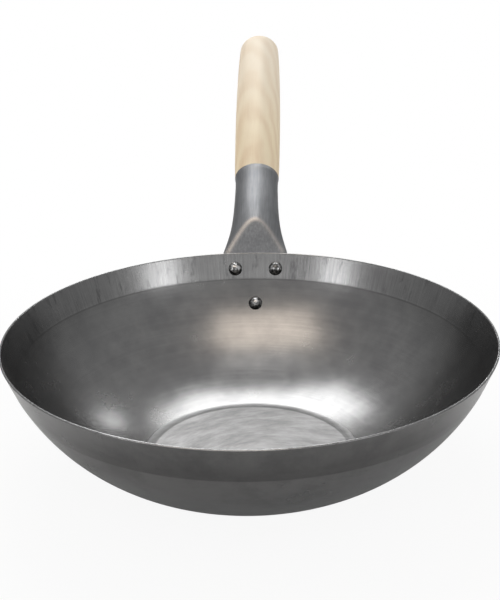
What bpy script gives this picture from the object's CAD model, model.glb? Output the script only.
from math import acos, atan2, cos, pi, radians, sin, tan

import bmesh
import bpy
from mathutils import Matrix, Vector
from mathutils.geometry import interpolate_bezier


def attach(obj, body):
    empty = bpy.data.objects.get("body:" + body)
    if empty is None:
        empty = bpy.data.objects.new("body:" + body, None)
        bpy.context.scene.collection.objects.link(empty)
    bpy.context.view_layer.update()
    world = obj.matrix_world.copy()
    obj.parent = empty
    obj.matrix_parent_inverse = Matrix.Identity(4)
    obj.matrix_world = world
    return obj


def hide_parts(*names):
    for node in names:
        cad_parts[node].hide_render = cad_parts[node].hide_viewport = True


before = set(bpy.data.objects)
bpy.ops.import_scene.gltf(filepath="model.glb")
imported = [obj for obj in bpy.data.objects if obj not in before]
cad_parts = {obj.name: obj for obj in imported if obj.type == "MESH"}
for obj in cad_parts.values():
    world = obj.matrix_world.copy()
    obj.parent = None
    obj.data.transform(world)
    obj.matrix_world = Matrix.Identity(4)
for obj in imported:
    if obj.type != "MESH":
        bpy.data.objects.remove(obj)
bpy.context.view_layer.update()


# Studio table and room.
# A wide white table top that the wok stands on, in a white room that the steel mirrors.
# The table keeps the wok's soft shadow, and to the camera it fades into the white room.

class Value:
    """A number that a node gives, so that sums on it can be written out."""

    def __init__(self, finish, socket):
        self.finish = finish
        self.socket = socket

    def sum(self, operation, *terms):
        return self.finish.node("ShaderNodeMath", {"operation": operation}, dict(enumerate(terms)))

    def __add__(self, other):
        return self.sum("ADD", self, other)

    def __radd__(self, other):
        return self.sum("ADD", other, self)

    def __sub__(self, other):
        return self.sum("SUBTRACT", self, other)

    def __rsub__(self, other):
        return self.sum("SUBTRACT", other, self)

    def __mul__(self, other):
        return self.sum("MULTIPLY", self, other)

    def __rmul__(self, other):
        return self.sum("MULTIPLY", other, self)

    def __truediv__(self, other):
        return self.sum("DIVIDE", self, other)

    def __pow__(self, other):
        return self.sum("POWER", self, other)

    def between(self, low, high):
        """0 up to low and 1 from high on, with a soft step between them."""
        return self.finish.node(
            "ShaderNodeMapRange",
            {"interpolation_type": "SMOOTHSTEP"},
            {"Value": self, "From Min": low, "From Max": high},
        )


class Finish:
    """The nodes of one material, or of the room."""

    def __init__(self, name, owner=None):
        self.owner = owner or bpy.data.materials.new(name)
        self.owner.use_nodes = True
        self.tree = self.owner.node_tree
        self.tree.nodes.clear()

    def node(self, kind, settings=None, sockets=None, out=0):
        made = self.tree.nodes.new(kind)
        for name, setting in (settings or {}).items():
            setattr(made, name, setting)
        for name, given in (sockets or {}).items():
            if isinstance(given, Value):
                self.tree.links.new(given.socket, made.inputs[name])
            else:
                made.inputs[name].default_value = given
        return Value(self, made.outputs[out]) if made.outputs else None

    def mix(self, share, first, second):
        """Mix two colours, each a node's colour or three numbers."""
        first, second = (c if isinstance(c, Value) else (*c, 1) for c in (first, second))
        return self.node("ShaderNodeMix", {"data_type": "RGBA"}, {0: share, 6: first, 7: second}, out=2)

    def vector(self, x, y, z):
        return self.node("ShaderNodeCombineXYZ", None, {0: x, 1: y, 2: z})

    def noise(self, place, scale, detail, roughness):
        sockets = {"Vector": place, "Scale": scale, "Detail": detail, "Roughness": roughness}
        return self.node("ShaderNodeTexNoise", None, sockets, "Fac")


table = Finish("studio_table")
table_place = table.node("ShaderNodeTexCoord", None, None, "Object")
table_reach = table.node("ShaderNodeVectorMath", {"operation": "LENGTH"}, {0: table_place}, "Value")
near_white = 0.92
fade_start, fade_end = 0.2, 0.5
table_shows_white = near_white + table_reach.between(fade_start, fade_end) * (1 - near_white)
table_colour = (0.88, 0.88, 0.88, 1)
table_diffuse = table.node("ShaderNodeBsdfDiffuse", None, {"Color": table_colour})
table_white = table.node("ShaderNodeEmission", None, {"Color": (1, 1, 1, 1), "Strength": 1})
to_camera = table.node("ShaderNodeLightPath", None, None, "Is Camera Ray")
table_mix = table.node(
    "ShaderNodeMixShader", None, {0: to_camera * table_shows_white, 1: table_diffuse, 2: table_white}
)
table.node("ShaderNodeOutputMaterial", None, {"Surface": table_mix})

# the table lies a hair under the wok's flat base, so that the two faces don't flicker
half_table, table_drop = 6, 0.0003
table_top = bmesh.new()
bmesh.ops.create_grid(table_top, x_segments=8, y_segments=8, size=half_table)
bmesh.ops.translate(table_top, verts=table_top.verts[:], vec=(0, 0, -table_drop))
table_mesh = bpy.data.meshes.new("table_top")
table_top.to_mesh(table_mesh)
table_mesh.materials.append(table.owner)
table_object = bpy.data.objects.new("table_top", table_mesh)
bpy.context.scene.collection.objects.link(table_object)

room = Finish("room", bpy.data.worlds.new("white_room"))
bpy.context.scene.world = room.owner
sees_room = [
    room.node("ShaderNodeLightPath", None, None, ray)
    for ray in ("Is Camera Ray", "Is Glossy Ray", "Is Transmission Ray")
]
room_way = room.node("ShaderNodeTexCoord", None, None, "Generated")
room_rise = room.node("ShaderNodeSeparateXYZ", None, {0: room_way}, "Z")
low_white, room_fill = 0.5, 0.58
dim_up_to, white_from = 0.05, 0.55
mirrored_white = low_white + room_rise.between(dim_up_to, white_from) * (1 - low_white)
room_strength = sees_room[0] + (sees_room[1] + sees_room[2]) * mirrored_white
seen_by_eye = sees_room[0] + sees_room[1] + sees_room[2]
room_strength = room_strength + (1 - seen_by_eye) * room_fill
room_light = room.node("ShaderNodeBackground", None, {"Color": (1, 1, 1, 1), "Strength": room_strength})
room.node("ShaderNodeOutputWorld", None, {"Surface": room_light})


# Lamps.
# Soft boxes around the wok: a large one behind it, a faint and a warm one over it, a long low
# board with a box at each end before it, and a strip at the back. The steel mirrors them all.

bowl_middle = Vector((0, 0, 0.05))


def soft_box(name, turn, rise, distance, width, height, shine, light, colour=(1, 1, 1)):
    """A box of lamps that faces the wok, turned to the right from its front and raised over it.

    In steel it looks as bright as shine times white, and light is what wood and table get of it."""
    turn, rise = radians(turn), radians(rise)
    outward = Vector((sin(turn) * cos(rise), -cos(turn) * cos(rise), sin(rise)))
    across = (Vector((1, 0, 0)) - outward * outward.x).normalized()
    axes = Matrix((across, outward.cross(across), outward)).transposed().to_4x4()
    for part, strength in (("shine", shine), ("light", light)):
        lamp = bpy.data.lights.new(name + "_" + part, "AREA")
        lamp.shape = "RECTANGLE"
        lamp.size = width
        lamp.size_y = height
        lamp.energy = strength * pi * width * height
        lamp.color = colour
        lamp_object = bpy.data.objects.new(name + "_" + part, lamp)
        lamp_object.matrix_world = Matrix.Translation(bowl_middle + outward * distance) @ axes
        lamp_object.visible_camera = False
        lamp_object.visible_diffuse = part == "light"
        lamp_object.visible_glossy = part == "shine"
        bpy.context.scene.collection.objects.link(lamp_object)


soft_box("back_box", -170, 55, 1.5, 1.0, 0.62, 10, 6)
soft_box("top_box", -80, 86, 1.5, 0.7, 0.35, 1.6, 0)
soft_box("warm_box", -17, 68, 1.5, 1.1, 0.62, 5, 3, (1, 0.86, 0.73))
soft_box("front_board", -6, 19, 1.3, 4.2, 0.32, 1.9, 0.4)
soft_box("left_box", -47, 20.5, 1.8, 0.5, 0.26, 11, 5)
soft_box("right_box", 51, 20.5, 1.8, 0.55, 0.26, 12, 5)
soft_box("back_strip", 156, 29, 1.8, 0.13, 0.3, 22, 0)


# Camera.
# It stands in front of the wok and a little above the rim, with the handle behind the bowl.

camera_place = Vector((0.0283, -0.7649, 0.4198))
camera_turn = radians(2.045)
camera_dip = radians(21.135)
camera_roll = radians(-0.968)
ahead = Vector((-sin(camera_turn) * cos(camera_dip), cos(camera_turn) * cos(camera_dip), -sin(camera_dip)))
level = Vector((cos(camera_turn), sin(camera_turn), 0))
upward = level.cross(ahead)
camera_x = level * cos(camera_roll) + upward * sin(camera_roll)
camera_y = upward * cos(camera_roll) - level * sin(camera_roll)
camera_data = bpy.data.cameras.new("camera")
camera_data.sensor_width = 36
camera_data.lens = 68.86
camera = bpy.data.objects.new("camera", camera_data)
camera_axes = Matrix((camera_x, camera_y, -ahead)).transposed()
camera.matrix_world = Matrix.Translation(camera_place) @ camera_axes.to_4x4()
bpy.context.scene.collection.objects.link(camera)
bpy.context.scene.camera = camera
bpy.context.scene.view_settings.view_transform = "Standard"


# Bowl.
# One round of carbon steel sheet, pressed and spun over a form: a flat floor, a curved wall,
# and a plain straight band from the crease to the rim, left bare with its spinning marks.

sheet = 0.0016
rim_radius, rim_height = 0.178, 0.099
base_radius = 0.076
corner_radius, corner_turn = 0.018, radians(18)
band_width, band_slope = 0.022, radians(68)
outer_line = 0.072
crease_softness, rim_softness = 0.0011, 0.00045


def across_wall(slope):
    """Direction out of the wall, as (out, up), where it stands at this slope."""
    return Vector((sin(slope), -cos(slope)))


def along_wall(slope):
    """Direction up the wall, as (out, up), where it stands at this slope."""
    return Vector((cos(slope), sin(slope)))


rim_edge = Vector((rim_radius, rim_height))
crease = rim_edge - along_wall(band_slope) * band_width
corner_centre = Vector((base_radius, corner_radius))
corner_end = corner_centre + across_wall(corner_turn) * corner_radius
chord = crease - corner_end
chord_slope = atan2(chord.y, chord.x)
crease_slope = 2 * chord_slope - corner_turn
wall_radius = chord.length / 2 / sin(crease_slope - chord_slope)
wall_centre = corner_end - across_wall(corner_turn) * wall_radius
half_bend = (band_slope - crease_slope) / 2

# where the turned line has its points: the last step up the wall lies close under the crease,
# and the first and the next to last on the band lie close to its edges, so that both stay crisp
floor_places = (0, 0.035, base_radius - 0.002)
corner_steps, wall_steps = 6, 28
wall_places = (*range(1, wall_steps), wall_steps - 0.4)
band_shares = (0.09, 0.5, 0.95, 1)


def wall_points(depth):
    """Points up one face of the sheet, this deep under the outer face."""
    line = [Vector((out, depth)) for out in floor_places]
    for step in range(corner_steps + 1):
        slope = corner_turn * step / corner_steps
        line.append(corner_centre + across_wall(slope) * (corner_radius - depth))
    for step in wall_places:
        slope = corner_turn + (crease_slope - corner_turn) * step / wall_steps
        line.append(wall_centre + across_wall(slope) * (wall_radius - depth))
    line.append(crease - across_wall(crease_slope + half_bend) * (depth / cos(half_bend)))
    inward = across_wall(band_slope) * depth
    for share in band_shares:
        line.append(crease + along_wall(band_slope) * band_width * share - inward)
    return line


def mesh_piece(name, bm, finish, sharp, body="root"):
    """Make a piece of a finished bmesh, smooth except over edges sharper than this."""
    mesh = bpy.data.meshes.new(name)
    bm.to_mesh(mesh)
    bm.free()
    mesh.materials.append(finish)
    mesh.shade_smooth()
    mesh.set_sharp_from_angle(angle=radians(sharp))
    piece = bpy.data.objects.new(name, mesh)
    bpy.context.scene.collection.objects.link(piece)
    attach(piece, body)
    return piece


def turned(points, steps):
    """A round shape turned about Z from a line of (out, up) points."""
    bm = bmesh.new()
    verts = [bm.verts.new((p[0], 0, p[1])) for p in points]
    edges = [bm.edges.new(pair) for pair in zip(verts, verts[1:])]
    bmesh.ops.spin(
        bm, geom=verts + edges, axis=(0, 0, 1), cent=(0, 0, 0), angle=2 * pi, steps=steps, use_merge=True
    )
    bmesh.ops.remove_doubles(bm, verts=bm.verts[:], dist=1e-6)
    bmesh.ops.recalc_face_normals(bm, faces=bm.faces[:])
    return bm


def soften_rings(bm, places, width):
    """Round off the edges that run round the turned shape through these (out, up) points."""
    rings, same_place = [], 0.0001
    for edge in bm.edges:
        ends = [Vector((Vector(v.co.xy).length, v.co.z)) for v in edge.verts]
        if any(all((end - place).length < same_place for end in ends) for place in places):
            rings.append(edge)
    bmesh.ops.bevel(bm, geom=rings, offset=width, segments=3, profile=0.5, affect="EDGES", material=-1)


wall_dark, wall_light = (0.095, 0.095, 0.096), (0.14, 0.14, 0.139)
outside_light, mill_scale = (0.27, 0.27, 0.27), (0.085, 0.085, 0.087)
band_dark, band_light = (0.17, 0.17, 0.172), (0.34, 0.34, 0.342)
stain_grey, worked_edge = (0.05, 0.05, 0.052), (0.03, 0.03, 0.03)
floor_dark, floor_light = (0.17, 0.17, 0.17), (0.36, 0.36, 0.36)


def spun_steel(name, outside):
    """Bare carbon steel with the marks of the spinning tool, as one face of the bowl shows it."""
    steel = Finish(name)
    place = steel.node("ShaderNodeTexCoord", None, None, "Object")
    x, y, z = (steel.node("ShaderNodeSeparateXYZ", None, {0: place}, axis) for axis in "XYZ")
    out = (x * x + y * y) ** 0.5

    # marks left by the spinning tool run round the wall, and polishing marks run up the band
    rings, waver, drift = 620, 9, 7
    round_place = steel.vector(out * rings + x * waver, z * rings + y * waver, x * drift)
    round_marks = steel.noise(round_place, 1, 3, 0.6)
    turn_x, turn_y = x / (out + 0.001), y / (out + 0.001)
    upright, long_marks = 330, 22
    upright_place = steel.vector(turn_x * upright, turn_y * upright, z * long_marks)
    upright_marks = steel.noise(upright_place, 1, 3, 0.65)
    cloud = steel.noise(place, 16, 4, 0.6)
    smudge = steel.noise(place, 55, 5, 0.65)
    on_band = z.between(crease.y - 0.0008, crease.y + 0.0008)
    marks = on_band * upright_marks + (1 - on_band) * round_marks

    tone = (marks * 0.2 + cloud * 0.4 + smudge * 0.4).between(0.3, 0.7)
    colour = steel.mix(tone, wall_dark, wall_light)
    rough = 0.19 + cloud * 0.08 + smudge * 0.06
    if outside:
        # the band stays darker, with a clear edge where the wall was spun thinner and brighter
        under_line = 1 - z.between(outer_line - 0.0006, outer_line + 0.0006)
        near_rim = z.between(outer_line, rim_height)
        colour = steel.mix(0.1 + under_line * 0.5 + near_rim * 0.35, colour, outside_light)
        scale_marks = steel.noise(place, 38, 6, 0.75).between(0.4, 0.7)
        colour = steel.mix(scale_marks * 0.4, colour, mill_scale)
    else:
        # the band is rubbed along its polishing marks and has stains
        band_tone = steel.mix(upright_marks.between(0.3, 0.7), band_dark, band_light)
        colour = steel.mix(on_band * 0.24, colour, band_tone)
        stain_place = steel.vector(turn_x * 26, turn_y * 26, z * 40)
        stains = steel.noise(stain_place, 1, 5, 0.7).between(0.54, 0.66)
        colour = steel.mix(stains * on_band * 0.45, colour, stain_grey)
        # a thin dark line lies along the crease
        under_crease = z.between(crease.y - 0.0011, crease.y - 0.0004)
        over_crease = z.between(crease.y, crease.y + 0.0006)
        colour = steel.mix((under_crease - over_crease) * 0.35, colour, worked_edge)
        # the floor is duller, with polishing sweeps, inside a dark ring where the corner starts
        on_floor = 1 - z.between(sheet + 0.0001, sheet + 0.001)
        sweep_place = steel.vector(x * 30 + y * 22, y * 70 - x * 40 + out * 60, cloud)
        sweep = steel.noise(sweep_place, 1, 5, 0.75)
        floor_tone = steel.mix(sweep.between(0.3, 0.7), floor_dark, floor_light)
        colour = steel.mix(on_floor * 0.55, colour, floor_tone)
        floor_edge = out.between(base_radius - 0.0022, base_radius - 0.0008) * on_floor
        colour = steel.mix(floor_edge * 0.6, colour, worked_edge)
        rough = rough + on_floor * 0.22
    relief = {"Strength": 0.004, "Distance": 0.0002, "Height": marks + smudge}
    bump = steel.node("ShaderNodeBump", None, relief)
    surface = steel.node(
        "ShaderNodeBsdfPrincipled",
        None,
        {"Base Color": colour, "Metallic": 1, "Roughness": rough, "Normal": bump},
    )
    steel.node("ShaderNodeOutputMaterial", None, {"Surface": surface})
    return steel.owner


bowl_steps = 288
bowl_bm = turned(wall_points(0) + wall_points(sheet)[::-1], bowl_steps)
inner_crease = crease - across_wall(crease_slope + half_bend) * (sheet / cos(half_bend))
inner_rim = rim_edge - across_wall(band_slope) * sheet
soften_rings(bowl_bm, (crease, inner_crease), crease_softness)
soften_rings(bowl_bm, (rim_edge, inner_rim), rim_softness)
# the faces that look down are the outside, which has its own finish
for face in bowl_bm.faces:
    face.material_index = 1 if face.normal.z < -0.05 else 0
bowl = mesh_piece("steel_bowl", bowl_bm, spun_steel("bare_spun_steel", False), 50)
bowl.data.materials.append(spun_steel("bare_spun_steel_outside", True))
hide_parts("bowl")


# Handle socket.
# A second steel sheet, pressed and rolled into a tube that flares at its root, folds over a
# soft ridge and lies against the outside of the band, where the rivets hold it.

socket_steel = Finish("bare_pressed_steel")
socket_place = socket_steel.node("ShaderNodeTexCoord", None, None, "Object")
handle_pitch = radians(30)
handle_root = Vector((0, rim_radius, rim_height - 0.001))
socket_dark, socket_light, rubbed_ridge = (0.1, 0.103, 0.108), (0.155, 0.159, 0.166), (0.34, 0.315, 0.29)
along_place = socket_steel.node(
    "ShaderNodeMapping",
    {"vector_type": "TEXTURE"},
    {"Vector": socket_place, "Location": handle_root, "Rotation": (handle_pitch, 0, 0)},
)
across, along = 620, 45
stretched = socket_steel.node(
    "ShaderNodeMapping", None, {"Vector": along_place, "Scale": (across, along, across)}
)
draw_marks = socket_steel.noise(stretched, 1, 3, 0.6)
socket_cloud = socket_steel.noise(socket_place, 40, 4, 0.6)
socket_tone = (draw_marks * 0.5 + socket_cloud * 0.5).between(0.3, 0.7)
socket_colour = socket_steel.mix(socket_tone, socket_dark, socket_light)
# the fold is soft in the sheet, and its ridge is rubbed bright, less so on the right
soft_fold = socket_steel.node("ShaderNodeBevel", {"samples": 8}, {"Radius": 0.006})
fold_facing = socket_steel.node("ShaderNodeSeparateXYZ", None, {0: soft_fold}, "Y") * -1
ridge_wear = fold_facing.between(0.52, 0.7) * (1 - fold_facing.between(0.78, 0.92))
socket_x = socket_steel.node("ShaderNodeSeparateXYZ", None, {0: socket_place}, "X")
right_side = socket_x.between(-0.003, 0.006)
socket_colour = socket_steel.mix(ridge_wear * (0.85 - right_side * 0.5), socket_colour, rubbed_ridge)
socket_relief = draw_marks + socket_cloud
socket_bump = socket_steel.node(
    "ShaderNodeBump",
    None,
    {"Strength": 0.1, "Distance": 0.0002, "Height": socket_relief, "Normal": soft_fold},
)
socket_surface = socket_steel.node(
    "ShaderNodeBsdfPrincipled",
    None,
    {
        "Base Color": socket_colour,
        "Metallic": 1,
        "Roughness": 0.47 + socket_cloud * 0.08,
        "Normal": socket_bump,
    },
)
socket_steel.node("ShaderNodeOutputMaterial", None, {"Surface": socket_surface})
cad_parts["handle_socket"].material_slots[0].material = socket_steel.owner


# Rivets.
# Three button-headed steel rivets, blackened, each driven from inside the bowl through the
# band or the wall and the socket's plate, with a small round tail outside.

def wall_place(drop, turn):
    """Place on the wall's outer face, with Z out of it, under the rim and beside the handle."""
    height = rim_height - drop
    if height > crease.y:
        slope = band_slope
        radius = rim_radius - drop / tan(band_slope)
    else:
        slope = acos((wall_centre.y - height) / wall_radius)
        radius = wall_centre.x + wall_radius * sin(slope)
    side, forth = sin(turn), cos(turn)
    out = across_wall(slope)
    z_axis = Vector((out.x * side, out.x * forth, out.y))
    x_axis = Vector((forth, -side, 0))
    axes = Matrix((x_axis, z_axis.cross(x_axis), z_axis)).transposed()
    return Matrix.Translation((radius * side, radius * forth, height)) @ axes.to_4x4()


blackened, rubbed_black = (0.05, 0.05, 0.05), (0.3, 0.3, 0.3)
rivet_steel = Finish("blackened_rivet_steel")
rivet_place = rivet_steel.node("ShaderNodeTexCoord", None, None, "Object")
rivet_pits = rivet_steel.noise(rivet_place, 900, 4, 0.6)
rivet_spots = rivet_steel.noise(rivet_place, 420, 2, 0.5)
rivet_colour = rivet_steel.mix(rivet_spots.between(0.42, 0.62), blackened, rubbed_black)
rivet_bump = rivet_steel.node(
    "ShaderNodeBump", None, {"Strength": 0.5, "Distance": 0.0002, "Height": rivet_pits}
)
rivet_surface = rivet_steel.node(
    "ShaderNodeBsdfPrincipled",
    None,
    {"Base Color": rivet_colour, "Metallic": 1, "Roughness": 0.22 + rivet_pits * 0.2, "Normal": rivet_bump},
)
rivet_steel.node("ShaderNodeOutputMaterial", None, {"Surface": rivet_surface})

# for each rivet its drop under the rim and its turn beside the handle
rivet_places = {
    "rivet_upper_left": (0.0126, radians(-5.8)),
    "rivet_upper_right": (0.0126, radians(5.8)),
    "rivet_lower": (0.0397, 0),
}


def button_line(radius, rise, steps):
    """Half section of a button head from its rim to its crown."""
    dome_radius = (radius * radius + rise * rise) / (2 * rise)
    half_turn = acos((dome_radius - rise) / dome_radius)
    turns = [half_turn * (1 - i / steps) for i in range(steps + 1)]
    return [(dome_radius * sin(turn), dome_radius * cos(turn) - dome_radius + rise) for turn in turns]


head_radius, head_rise = 0.0059, 0.0042
tail_radius, tail_rise = 0.0045, 0.002
shank_radius = 0.003
plate, plate_gap, seat_gap = 0.0018, 0.00005, 0.00015
head_seat = sheet + seat_gap
tail_seat = plate_gap + plate + seat_gap
for node_name, (drop, turn) in rivet_places.items():
    head = [(out, -head_seat - up) for out, up in button_line(head_radius, head_rise, 10)]
    tail = [(out, tail_seat + up) for out, up in button_line(tail_radius, tail_rise, 8)]
    shank = [(shank_radius, -head_seat), (shank_radius, tail_seat)]
    rivet_bm = turned(head[::-1] + shank + tail, 40)
    rivet_bm.transform(wall_place(drop, turn))
    rivet = mesh_piece(node_name + "_steel", rivet_bm, rivet_steel.owner, 45)
    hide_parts(node_name)


# Grip.
# Pale close-grained wood, turned to a full round handle with a domed end, sanded and left
# bare. Its tenon is pushed into the socket and held by a screw from below.

wood_dark, wood_light = (0.66, 0.49, 0.31), (0.8, 0.68, 0.48)
pale_dark, pale_light = (0.87, 0.77, 0.635), (0.905, 0.82, 0.705)
grip_wood = Finish("pale_turned_wood")
wood_place = grip_wood.node("ShaderNodeTexCoord", None, None, "Object")
wood_along = grip_wood.node(
    "ShaderNodeMapping",
    {"vector_type": "TEXTURE"},
    {"Vector": wood_place, "Location": handle_root, "Rotation": (handle_pitch, 0, 0)},
)
grain_place = grip_wood.node("ShaderNodeMapping", None, {"Vector": wood_along, "Scale": (34, 6, 34)})
# the tree's rings lie at a small angle to the grip, so the lathe cuts them in long arcs
tree_heart, tree_tilt = (0.009, 0, -0.047), radians(7.4)
tree_place = grip_wood.node(
    "ShaderNodeMapping",
    {"vector_type": "TEXTURE"},
    {"Vector": wood_along, "Location": tree_heart, "Rotation": (tree_tilt, 0, 0)},
)
grain_rings = grip_wood.node(
    "ShaderNodeTexWave",
    {"wave_type": "RINGS", "rings_direction": "Y", "wave_profile": "SIN"},
    {"Vector": tree_place, "Scale": 52, "Distortion": 3.5, "Detail": 2, "Detail Scale": 0.5},
    "Fac",
)
fibre_place = grip_wood.node("ShaderNodeMapping", None, {"Vector": wood_along, "Scale": (900, 45, 900)})
fibres = grip_wood.noise(fibre_place, 1, 3, 0.6)
patches = grip_wood.noise(grain_place, 1, 3, 0.6)
wood_tone = (grain_rings * 0.2 + fibres * 0.25 + patches * 0.55).between(0.2, 0.75)
wood_colour = grip_wood.mix(wood_tone, wood_dark, wood_light)
# the wood is paler towards its far end
from_root = grip_wood.node("ShaderNodeSeparateXYZ", None, {0: wood_along}, "Y")
pale_wood = grip_wood.mix(grain_rings, pale_dark, pale_light)
wood_colour = grip_wood.mix(from_root.between(0.11, 0.26) * 0.6, wood_colour, pale_wood)
wood_bump = grip_wood.node("ShaderNodeBump", None, {"Strength": 0.15, "Distance": 0.0002, "Height": fibres})
wood_surface = grip_wood.node(
    "ShaderNodeBsdfPrincipled",
    None,
    {"Base Color": wood_colour, "Roughness": 0.62 + fibres * 0.1, "Normal": wood_bump},
)
grip_wood.node("ShaderNodeOutputMaterial", None, {"Surface": wood_surface})

handle_axes = Matrix.Translation(handle_root) @ Matrix.Rotation(handle_pitch - pi / 2, 4, "X")
# all along the handle's axis: the grip starts at the socket's mouth, and its tenon lies before it
mouth, grip_length = 0.091, 0.1935
tenon_length, tenon_radius, tenon_chamfer = 0.046, 0.0173, 0.002
end_radius, dome_length, dome_steps = 0.0192, 0.0145, 12
tenon_end = mouth - tenon_length
# distance from the mouth, radius there, and how fast the radius grows
grip_stations = (
    (0, 0.0200, 0.022),
    (0.0194, 0.0206, 0.014),
    (0.0832, 0.0212, 0),
    (0.1509, 0.0204, -0.024),
    (grip_length - dome_length, end_radius, -0.06),
)
grip_line = [
    (0, tenon_end),
    (tenon_radius - tenon_chamfer, tenon_end),
    (tenon_radius, tenon_end + tenon_chamfer),
    (tenon_radius, mouth),
]
for (start, low, low_growth), (end, high, high_growth) in zip(grip_stations, grip_stations[1:]):
    third = (end - start) / 3
    run = interpolate_bezier(
        (low, start, 0),
        (low + low_growth * third, start + third, 0),
        (high - high_growth * third, end - third, 0),
        (high, end, 0),
        9,
    )
    grip_line += [(p.x, p.y + mouth) for p in run[:-1]]
dome_foot = mouth + grip_length - dome_length
for step in range(dome_steps + 1):
    turn = pi / 2 * step / dome_steps
    grip_line.append((end_radius * cos(turn), dome_foot + dome_length * sin(turn)))
grip_bm = turned(grip_line, 96)
grip_bm.transform(handle_axes)
grip = mesh_piece("wooden_grip", grip_bm, grip_wood.owner, 50)
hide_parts("grip")


# Screw under the socket.
# A small round-headed steel screw, driven from below through the socket into the tenon.

screw_steel = Finish("plain_screw_steel")
screw_place = screw_steel.node("ShaderNodeTexCoord", None, None, "Object")
screw_marks = screw_steel.noise(screw_place, 700, 3, 0.6)
screw_dark, screw_light = (0.3, 0.3, 0.3), (0.46, 0.46, 0.46)
screw_colour = screw_steel.mix(screw_marks, screw_dark, screw_light)
screw_surface = screw_steel.node(
    "ShaderNodeBsdfPrincipled",
    None,
    {"Base Color": screw_colour, "Metallic": 1, "Roughness": 0.25 + screw_marks * 0.2},
)
screw_steel.node("ShaderNodeOutputMaterial", None, {"Surface": screw_surface})
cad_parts["grip_screw"].material_slots[0].material = screw_steel.owner
